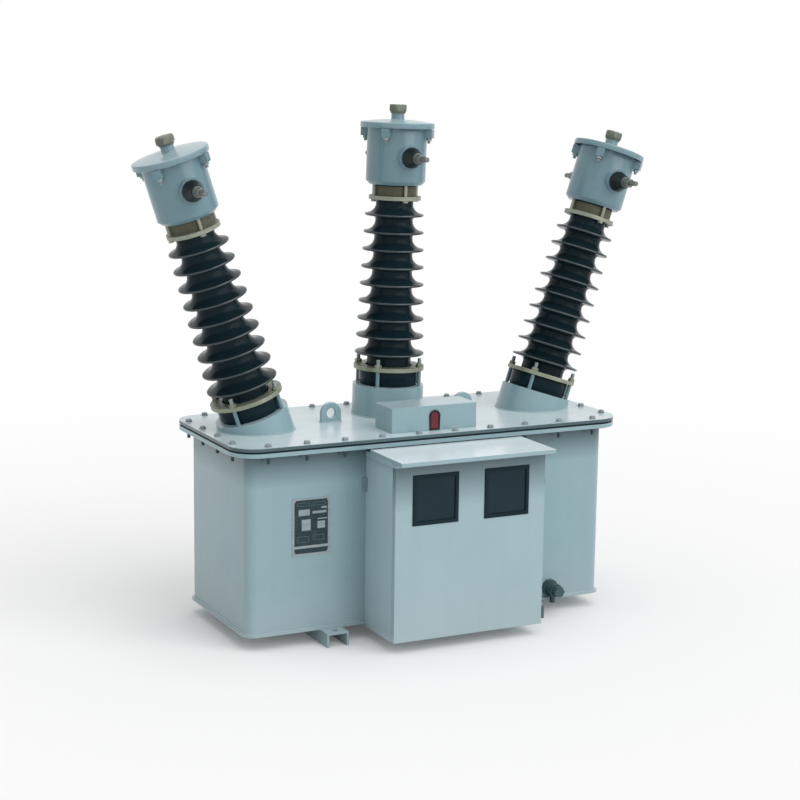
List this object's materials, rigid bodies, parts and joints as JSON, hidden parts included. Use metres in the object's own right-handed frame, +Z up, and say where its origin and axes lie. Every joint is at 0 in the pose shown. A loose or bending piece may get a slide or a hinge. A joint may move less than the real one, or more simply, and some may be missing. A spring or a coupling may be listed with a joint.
{
  "type": "outdoor instrument transformer",
  "caption": "Three-phase oil-filled outdoor instrument transformer: blue-grey tank on channels, fanned dark porcelain bushings with oil heads, and a windowed meter box in front",
  "frame": {"origin": "On the ground plane under the middle of the whole object's box. The tank's middle is 93 mm behind it, because the meter box reaches further forward than anything reaches back.", "axes": "+X along the tank to the right as seen from the front, +Y to the back, +Z up; the meter box faces -Y."},
  "size_m": [1.6858, 0.77, 1.5579],
  "materials": {
    "tank_paint": "light blue-grey gloss paint, dusty low down",
    "lid_paint": "same paint, paler where it faces the sky",
    "black_rubber": "black oil-proof rubber",
    "bolt_steel": "zinc-plated steel, dull",
    "gauge_black": "black moulded resin and black enamel",
    "gauge_red": "red scale behind a clear window",
    "dark_glaze": "near-black brown glaze with sharp highlights",
    "yellow_zinc": "yellow chromated zinc",
    "cap_brass": "dull brass",
    "window_glass": "dark reflective glass",
    "panel_grey": "grey sheet steel",
    "board_brown": "brown laminate and wrapped insulation",
    "plate_dark": "etched aluminium with dark blank fields",
    "core_steel": "varnished core sheet and frame steel",
    "lead_copper": "copper rod"
  },
  "bodies": {
    "base": {"tank_body": "tank_paint", "base_rail_left": "tank_paint", "base_rail_right": "tank_paint", "lid_gasket": "black_rubber", "tank_lid": "lid_paint", "turret_left": "tank_paint", "turret_middle": "tank_paint", "turret_right": "tank_paint", "lifting_lugs": "tank_paint", "lid_bolts": "bolt_steel", "lid_nuts": "bolt_steel", "gauge_housing": "lid_paint", "gauge_bezel": "gauge_black", "gauge_window": "gauge_red", "porcelain_left": "dark_glaze", "porcelain_middle": "dark_glaze", "porcelain_right": "dark_glaze", "bushing_gaskets": "black_rubber", "lower_ring_left": "yellow_zinc", "lower_ring_middle": "yellow_zinc", "lower_ring_right": "yellow_zinc", "lower_ring_studs": "bolt_steel", "lower_ring_nuts": "yellow_zinc", "upper_ring_left": "yellow_zinc", "upper_ring_middle": "yellow_zinc", "upper_ring_right": "yellow_zinc", "upper_ring_bolts": "yellow_zinc", "head_pot_left": "tank_paint", "head_pot_middle": "tank_paint", "head_pot_right": "tank_paint", "head_cover_left": "lid_paint", "head_cover_middle": "lid_paint", "head_cover_right": "lid_paint", "filler_cap_left": "cap_brass", "filler_cap_middle": "cap_brass", "filler_cap_right": "cap_brass", "cover_bolts": "bolt_steel", "terminal_insulators": "gauge_black", "terminal_studs": "cap_brass", "terminal_nuts": "bolt_steel", "meter_box": "tank_paint", "box_roof": "lid_paint", "hinge_leaves_box": "tank_paint", "hinge_pins": "bolt_steel", "meter_panel": "panel_grey", "terminal_board": "board_brown", "box_brackets": "panel_grey", "drain_valve": "gauge_black", "drain_plug": "gauge_black", "nameplate": "plate_dark", "nameplate_rivets": "bolt_steel", "core_frame": "core_steel", "vt_core": "core_steel", "vt_windings": "board_brown", "ct_rings": "board_brown", "primary_conductors": "lead_copper"},
    "door": {"box_door": "tank_paint", "window_frames": "black_rubber", "window_panes": "window_glass", "hinge_leaves_door": "tank_paint"}
  },
  "joints": [
    {"name": "door_hinge", "type": "hinge", "parent": "base", "child": "door", "pos_m": [0.277, -0.315, 0.3], "axis": [0, 0, 1], "range_deg": [0, 110]}
  ]
}
